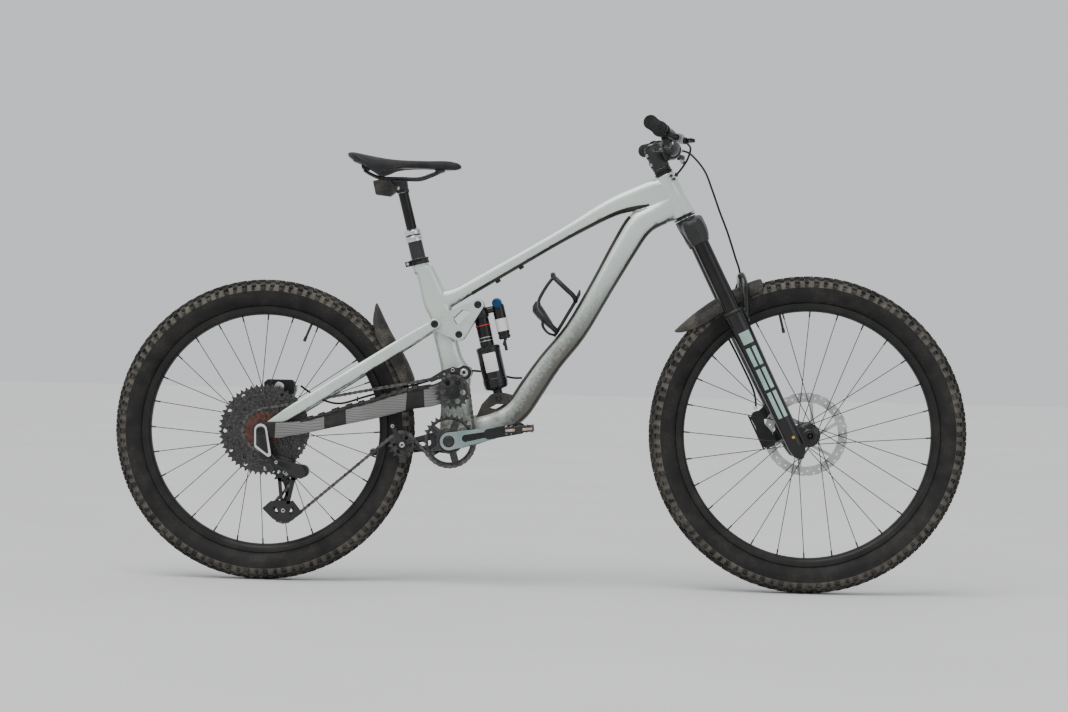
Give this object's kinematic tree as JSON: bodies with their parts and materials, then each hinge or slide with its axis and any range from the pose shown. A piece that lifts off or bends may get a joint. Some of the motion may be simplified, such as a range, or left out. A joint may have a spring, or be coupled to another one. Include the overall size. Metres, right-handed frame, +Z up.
{
  "type": "full-suspension mountain bike",
  "caption": "Full-suspension mountain bicycle with a high main pivot and idler, air shock, single-chainring geared drive, disc brakes, long-travel fork and dropper seat post.",
  "frame": {"origin": "on the ground, midway between the front and rear ends of the tyres and on the bicycle's middle plane", "axes": "+X forward, +Y to the rider's left, +Z up"},
  "size_m": [2.014, 0.784, 1.085],
  "materials": {
    "frame_paint": "gloss",
    "stay_grey": "satin",
    "black_gloss": "gloss",
    "black_satin": "satin",
    "rubber": "matte",
    "tyre": "matte",
    "steel": "satin",
    "dark_metal": "satin",
    "mudguard": "matte"
  },
  "bodies": {
    "frame": {"main_frame": "frame_paint", "headset": "black_satin", "bottom_bracket": "black_satin", "seatpost_clamp": "black_satin", "dropper_outer_tube": "black_satin", "bottle_cage": "black_satin", "lower_idler_bracket": "black_satin", "idler_bracket_and_main_axle": "black_satin", "chain_front_loop": "dark_metal"},
    "idler": {"idler_pulley": "dark_metal"},
    "lower_idler": {"lower_idler_pulley": "dark_metal"},
    "swingarm": {"chainstay": "stay_grey", "rear_axle": "dark_metal", "derailleur_mount": "black_satin", "rear_mudguard": "mudguard", "rear_brake_hose_rear": "rubber", "chain_rear_loop": "dark_metal"},
    "seatstay": {"seatstay": "frame_paint", "rear_brake_caliper": "black_satin"},
    "rear_wheel": {"rear_hub_and_spokes": "black_satin", "rear_rim": "black_satin", "rear_tyre": "tyre", "rear_rotor": "steel"},
    "cassette": {"cassette": "steel"},
    "derailleur": {"derailleur_parallelogram": "black_satin"},
    "derailleur_cage": {"derailleur_cage": "black_satin"},
    "guide_pulley": {"guide_pulley": "dark_metal"},
    "tension_pulley": {"tension_pulley": "dark_metal"},
    "rocker": {"rocker_link": "frame_paint"},
    "shock_can": {"shock_air_can": "black_gloss"},
    "shock_damper": {"shock_damper": "black_gloss"},
    "steering": {"fork_crown_and_stanchions": "black_gloss", "stem": "black_satin", "handlebar": "black_satin", "grip_right": "rubber", "grip_left": "rubber", "brake_master_right": "black_satin", "brake_master_left": "black_satin", "rear_brake_hose_front": "rubber"},
    "brake_lever_right": {"brake_lever_right": "black_satin"},
    "brake_lever_left": {"brake_lever_left": "black_satin"},
    "shift_paddle": {"shift_paddle": "black_satin"},
    "dropper_paddle": {"dropper_paddle": "black_satin"},
    "fork_lowers": {"fork_lowers": "black_gloss", "front_mudguard": "mudguard", "front_brake_caliper": "black_satin", "front_axle": "dark_metal", "front_brake_hose": "rubber"},
    "front_wheel": {"front_hub_and_spokes": "black_satin", "front_rim": "black_satin", "front_tyre": "tyre", "front_rotor": "steel"},
    "dropper": {"dropper_stanchion_and_head": "black_satin", "saddle": "rubber", "saddle_rails": "dark_metal"},
    "crank": {"crank_right": "black_satin", "chainring": "dark_metal", "crank_left": "black_satin"},
    "pedal_right": {"pedal_right": "black_satin"},
    "pedal_left": {"pedal_left": "black_satin"}
  },
  "joints": [
    {"name": "steering", "type": "hinge", "parent": "frame", "child": "steering", "pos_m": [0.5931, 0, 0.3549], "axis": [-0.4462, 0, 0.8949], "range_deg": [-70, 70], "deforming": ["rear_brake_hose_front"]},
    {"name": "fork_travel", "type": "slide", "parent": "steering", "child": "fork_lowers", "axis": [-0.4462, 0, 0.8949], "range_m": [0, 0.17], "stiffness_N_per_m": 8000, "springref_m": -0.008, "deforming": ["front_brake_hose"]},
    {"name": "front_wheel_spin", "type": "hinge", "parent": "fork_lowers", "child": "front_wheel", "pos_m": [0.6325, 0, 0.3745], "axis": [0, 1, 0], "continuous": true},
    {"name": "rear_suspension", "type": "hinge", "parent": "frame", "child": "swingarm", "pos_m": [-0.1805, 0, 0.502], "axis": [0, 1, 0], "range_deg": [0, 20], "stiffness_Nm_per_rad": 1800, "springref_deg": -2.86, "deforming": ["chain_rear_loop", "rear_brake_hose_rear"]},
    {"name": "rear_wheel_spin", "type": "hinge", "parent": "swingarm", "child": "rear_wheel", "pos_m": [-0.6515, 0, 0.3555], "axis": [0, 1, 0], "continuous": true},
    {"name": "seatstay_pivot", "type": "hinge", "parent": "swingarm", "child": "seatstay", "pos_m": [-0.6515, 0, 0.3555], "axis": [0, 1, 0], "range_deg": [-2.5, 0.5]},
    {"name": "rocker_pivot", "type": "hinge", "parent": "frame", "child": "rocker", "pos_m": [-0.1956, 0, 0.5916], "axis": [0, 1, 0], "range_deg": [0, 51]},
    {"name": "shock_lower_pivot", "type": "hinge", "parent": "frame", "child": "shock_can", "pos_m": [-0.098, 0, 0.4425], "axis": [0, 1, 0], "range_deg": [0, 9]},
    {"name": "shock_stroke", "type": "slide", "parent": "shock_can", "child": "shock_damper", "axis": [0.2397, 0, -0.9708], "range_m": [0, 0.066]},
    {"name": "crank_spin", "type": "hinge", "parent": "frame", "child": "crank", "pos_m": [-0.2105, 0, 0.34], "axis": [0, 1, 0], "continuous": true},
    {"name": "pedal_right_spin", "type": "hinge", "parent": "crank", "child": "pedal_right", "pos_m": [-0.04409, 0, 0.37476], "axis": [0, 1, 0], "continuous": true},
    {"name": "pedal_left_spin", "type": "hinge", "parent": "crank", "child": "pedal_left", "pos_m": [-0.37691, 0, 0.30524], "axis": [0, 1, 0], "continuous": true},
    {"name": "cassette_spin", "type": "hinge", "parent": "swingarm", "child": "cassette", "pos_m": [-0.6515, 0, 0.3555], "axis": [0, 1, 0], "continuous": true},
    {"name": "idler_spin", "type": "hinge", "parent": "frame", "child": "idler", "pos_m": [-0.2055, 0, 0.4555], "axis": [0, 1, 0], "continuous": true},
    {"name": "lower_idler_spin", "type": "hinge", "parent": "frame", "child": "lower_idler", "pos_m": [-0.3215, 0, 0.3286], "axis": [0, 1, 0], "continuous": true},
    {"name": "derailleur_shift", "type": "slide", "parent": "swingarm", "child": "derailleur", "axis": [-0.2988, 0.6427, -0.7054], "range_m": [-0.034, 0.015], "deforming": ["chain_rear_loop"]},
    {"name": "derailleur_cage_pivot", "type": "hinge", "parent": "derailleur", "child": "derailleur_cage", "pos_m": [-0.561, 0, 0.268], "axis": [0, 1, 0], "range_deg": [-30, 0], "stiffness_Nm_per_rad": 2, "springref_deg": 17.19, "deforming": ["chain_rear_loop"]},
    {"name": "guide_pulley_spin", "type": "hinge", "parent": "derailleur_cage", "child": "guide_pulley", "pos_m": [-0.596, 0, 0.2575], "axis": [0, 1, 0], "continuous": true},
    {"name": "tension_pulley_spin", "type": "hinge", "parent": "derailleur_cage", "child": "tension_pulley", "pos_m": [-0.598, 0, 0.167], "axis": [0, 1, 0], "continuous": true},
    {"name": "brake_lever_right_pull", "type": "hinge", "parent": "steering", "child": "brake_lever_right", "pos_m": [0.31519, -0.236, 1.04286], "axis": [0, 0, -1], "range_deg": [0, 14], "stiffness_Nm_per_rad": 1.5, "springref_deg": -5.73},
    {"name": "brake_lever_left_pull", "type": "hinge", "parent": "steering", "child": "brake_lever_left", "pos_m": [0.31519, 0.236, 1.04286], "axis": [0, 0, 1], "range_deg": [0, 14], "stiffness_Nm_per_rad": 1.5, "springref_deg": -5.73},
    {"name": "shift_paddle_push", "type": "hinge", "parent": "steering", "child": "shift_paddle", "pos_m": [0.26349, -0.204, 1.02615], "axis": [0, 0, 1], "range_deg": [0, 15], "stiffness_Nm_per_rad": 0.8, "springref_deg": -5.73},
    {"name": "dropper_paddle_push", "type": "hinge", "parent": "steering", "child": "dropper_paddle", "pos_m": [0.26349, 0.204, 1.02615], "axis": [0, 0, -1], "range_deg": [0, 15], "stiffness_Nm_per_rad": 0.8, "springref_deg": -5.73},
    {"name": "dropper_travel", "type": "slide", "parent": "frame", "child": "dropper", "axis": [-0.2521, 0, 0.9677], "range_m": [-0.086, 0]}
  ],
  "couplings": [
    {"joint": "rocker_pivot", "follows": "rear_suspension", "ratio": 2.5205},
    {"joint": "seatstay_pivot", "follows": "rear_suspension", "ratio": -0.1105},
    {"joint": "shock_lower_pivot", "follows": "rear_suspension", "ratio": 0.424},
    {"joint": "shock_stroke", "follows": "rear_suspension", "m_per_rad": 0.18627},
    {"joint": "cassette_spin", "follows": "crank_spin", "ratio": 1.25},
    {"joint": "idler_spin", "follows": "crank_spin", "ratio": 1.5789},
    {"joint": "lower_idler_spin", "follows": "crank_spin", "ratio": -2},
    {"joint": "tension_pulley_spin", "follows": "crank_spin", "ratio": 2.1429},
    {"joint": "guide_pulley_spin", "follows": "crank_spin", "ratio": -2.1429}
  ]
}
